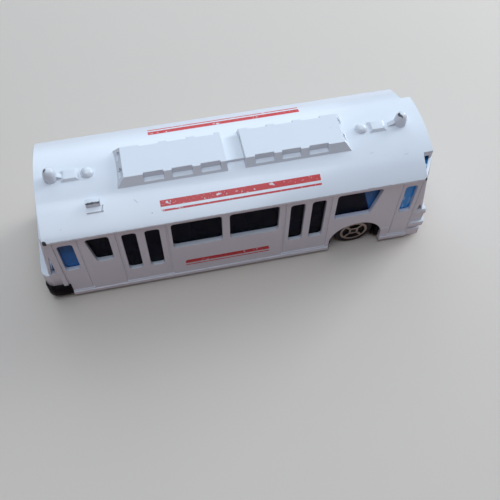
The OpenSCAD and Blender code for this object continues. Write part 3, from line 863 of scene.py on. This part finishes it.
@dataclass(frozen=True)
class SoftenedSolid:
    """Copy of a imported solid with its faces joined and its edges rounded, as a moulding has them.

    Attributes:
        node: Node that it stands for.
        body: Body that it rides on.
        slot: Its material slot.
        name: Name of the piece.
        edge: Width of its rounded edges in millimetres.
        steps: Faces across a rounded edge.
        sharp: Angle in degrees above which an edge is rounded.
        weld: Distance in millimetres below which corners are welded.
        flat: Angle in degrees below which faces are joined.
        shaded: Most corners of a face that keeps its smooth shading. A face with more is flat.
        skin: Round skin that is part of it.
    """

    node: str
    body: str
    slot: Slot
    name: str
    edge: float
    steps: int = 2
    sharp: float = 32.0
    weld: float = 0.002
    flat: float = 0.6
    shaded: int = 4
    skin: ArchedSkin | None = None

    def build(self, material: bpy.types.Material) -> None:
        """Makes the piece and lets it stand for the node.

        Args:
            material: Finish of its surface.
        """
        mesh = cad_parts[self.node].data.copy()
        mesh.name = self.name
        if mesh.has_custom_normals:
            mesh.normals_split_custom_set([(0.0, 0.0, 0.0)] * len(mesh.loops))
        self._join_faces(mesh)
        mesh.materials.clear()
        mesh.materials.append(material)
        piece = bpy.data.objects.new(self.name, mesh)
        bpy.context.scene.collection.objects.link(piece)
        self._round_edges(piece)
        self._set_normals(piece)
        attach(piece, self.body)
        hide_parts(self.node)
        LOG.info("%s: %d faces, edges rounded to %.2f mm", self.name, len(piece.data.polygons), self.edge)

    def _join_faces(self, mesh: bpy.types.Mesh) -> None:
        """Welds the corners and joins the triangles of each flat face.

        Args:
            mesh: Mesh of the solid, which is changed in place.
        """
        work = bmesh.new()
        work.from_mesh(mesh)
        bmesh.ops.remove_doubles(work, verts=work.verts, dist=self.weld * MM)
        bmesh.ops.dissolve_limit(work, angle_limit=math.radians(self.flat),
                                 verts=work.verts, edges=work.edges)
        for face in work.faces:
            face.smooth = True
        work.to_mesh(mesh)
        work.free()

    def _round_edges(self, piece: bpy.types.Object) -> None:
        """Rounds the sharp edges and puts the result in place of the piece's mesh.

        Args:
            piece: The piece.
        """
        bevel = piece.modifiers.new("round edges", "BEVEL")
        bevel.width = self.edge * MM
        bevel.segments = self.steps
        bevel.limit_method = "ANGLE"
        bevel.angle_limit = math.radians(self.sharp)
        bevel.use_clamp_overlap = False
        bevel.miter_outer = "MITER_SHARP"
        bevel.harden_normals = True
        piece.data = bpy.data.meshes.new_from_object(
            piece.evaluated_get(bpy.context.evaluated_depsgraph_get()))
        piece.modifiers.clear()

    def _set_normals(self, piece: bpy.types.Object) -> None:
        """Gives joined flat faces flat normals, and the round skin the normals of its arch.

        Args:
            piece: The piece, with its edges rounded.
        """
        mesh = piece.data
        normals = [corner.vector.copy() for corner in mesh.corner_normals]
        for face in mesh.polygons:
            corners = [mesh.vertices[i].co for i in face.vertices]
            true = self.skin.normal(corners) if self.skin else None
            if not true and len(corners) > self.shaded:
                true = [face.normal.copy()] * len(corners)
            for place, normal in zip(face.loop_indices, true or ()):
                normals[place] = normal
        mesh.normals_split_custom_set(normals)


@dataclass(frozen=True)
class Casting:
    """The white cast body."""

    solid: SoftenedSolid = SoftenedSolid(
        "body_shell", "bus", Slot.ENAMEL, "cast_body", edge=0.02,
        skin=ArchedSkin(middle=2.507, radius=23.893, lowest=22.0))
    finish: Enamel = Enamel()

    def build(self) -> None:
        """Makes and dresses the casting."""
        self.solid.build(self.finish.build())


@dataclass(frozen=True)
class Glazing:
    """The blue clear moulding behind the windows."""

    solid: SoftenedSolid = SoftenedSolid("glazing", "bus", Slot.GLAZING, "window_moulding", edge=0.02)
    finish: BlueGlass = BlueGlass()

    def build(self) -> None:
        """Makes and dresses the glazing."""
        self.solid.build(self.finish.build())


@dataclass(frozen=True)
class Underframe:
    """Base plate with the rear bumper, and the seat deck above it."""

    solids: tuple[SoftenedSolid, ...] = (
        SoftenedSolid("base", "bus", Slot.MOULDING, "base_plate", edge=0.03),
        SoftenedSolid("interior", "bus", Slot.MOULDING, "seat_deck", edge=0.03),
    )
    finish: BlackMoulding = BlackMoulding()

    def build(self) -> None:
        """Makes and dresses both mouldings."""
        material = self.finish.build()
        for solid in self.solids:
            solid.build(material)


@dataclass(frozen=True)
class Wheelset:
    """One axle with its two wheels."""

    end: str
    wire: bpy.types.Material
    edge: float = 0.06

    def build(self) -> None:
        """Makes the wheels and dresses the axle."""
        low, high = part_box(f"wheel_{self.end}_left")
        centre = (low + high) / 2 / MM
        finish = FoiledWheel(axle_x=centre.x, axle_height=centre.z, face=high.y / MM)
        material = finish.build(self.end)
        for side in ("left", "right"):
            solid = SoftenedSolid(f"wheel_{self.end}_{side}", f"{self.end}_wheelset", Slot.WHEEL,
                                  f"{self.end}_{side}_wheel", edge=self.edge)
            solid.build(material)
        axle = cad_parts[f"axle_{self.end}"]
        axle.data.materials.clear()
        axle.data.materials.append(self.wire)
        LOG.info("axle_%s: drawn wire", self.end)


@dataclass(frozen=True)
class Lamp:
    """A square soft light: place and size in millimetres, power and colour."""

    name: str
    place: Triple
    size: float
    watts: float
    colour: Colour

    def build(self, target: Vector) -> None:
        """Hangs the light and turns it towards the target.

        Args:
            target: Point that it looks at, in metres.
        """
        data = bpy.data.lights.new(self.name, "AREA")
        data.energy = self.watts
        data.size = self.size * MM
        data.color = self.colour
        lamp = bpy.data.objects.new(self.name, data)
        bpy.context.scene.collection.objects.link(lamp)
        lamp.visible_camera = False
        lamp.location = Vector(self.place) * MM
        lamp.rotation_euler = (target - lamp.location).to_track_quat("-Z", "Y").to_euler()


@dataclass(frozen=True)
class Studio:
    """Floor, lights and camera."""

    floor: PaleFloor = PaleFloor()
    floor_size: float = 3000.0
    sky: Colour = (0.86, 0.92, 1.0)
    sky_strength: float = 0.06
    camera_place: Triple = (-15.338, -86.213, 134.626)
    camera_turn: Triple = (30.7198, -0.5577, -12.0137)
    lens: float = 49.687
    sensor: float = 36.0
    nearest: float = 1.0
    target: Triple = (0.0, 0.0, 12.0)
    lamps: tuple[Lamp, ...] = (
        Lamp("window", (60.0, 260.0, 350.0), 700.0, 1.4, (0.75, 0.88, 1.0)),
        Lamp("ceiling", (-30.0, -90.0, 500.0), 300.0, 1.0, (0.79, 0.90, 1.0)),
        Lamp("room", (-120.0, -360.0, 60.0), 320.0, 0.13, (1.0, 0.72, 0.76)),
        Lamp("front", (380.0, 160.0, 190.0), 220.0, 1.1, (0.86, 0.94, 1.0)),
        Lamp("far_side", (0.0, 420.0, 160.0), 300.0, 0.25, (0.86, 0.94, 1.0)),
    )

    def build(self) -> None:
        """Makes the whole studio."""
        self._floor()
        self._world()
        for lamp in self.lamps:
            lamp.build(Vector(self.target) * MM)
        self._camera()
        bpy.context.scene.view_settings.view_transform = "Standard"

    def _floor(self) -> None:
        """Lays the floor under the wheels."""
        half = self.floor_size / 2 * MM
        corners = [(-half, -half, 0), (half, -half, 0), (half, half, 0), (-half, half, 0)]
        mesh = bpy.data.meshes.new("floor")
        mesh.from_pydata(corners, [], [(0, 1, 2, 3)])
        mesh.materials.append(self.floor.build())
        floor = bpy.data.objects.new("floor", mesh)
        bpy.context.scene.collection.objects.link(floor)

    def _world(self) -> None:
        """Sets a plain soft sky."""
        world = bpy.data.worlds.new("soft_sky")
        bpy.context.scene.world = world
        world.use_nodes = True
        background = world.node_tree.nodes["Background"]
        background.inputs["Color"].default_value = (*self.sky, 1.0)
        background.inputs["Strength"].default_value = self.sky_strength

    def _camera(self) -> None:
        """Puts the camera where the photograph was taken from."""
        data = bpy.data.cameras.new("camera")
        data.lens = self.lens
        data.sensor_width = self.sensor
        data.clip_start = self.nearest * MM
        camera = bpy.data.objects.new("camera", data)
        bpy.context.scene.collection.objects.link(camera)
        camera.location = Vector(self.camera_place) * MM
        camera.rotation_euler = Euler([math.radians(angle) for angle in self.camera_turn], "XYZ")
        bpy.context.scene.camera = camera


def main() -> None:
    """Builds the toy and the studio."""
    logging.basicConfig(level=logging.INFO, format="%(name)s: %(message)s")
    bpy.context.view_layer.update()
    Casting().build()
    Glazing().build()
    Underframe().build()
    wire = DrawnWire().build()
    for end in ("front", "rear"):
        Wheelset(end, wire).build()
    Studio().build()


if __name__ == "__main__":
    main()
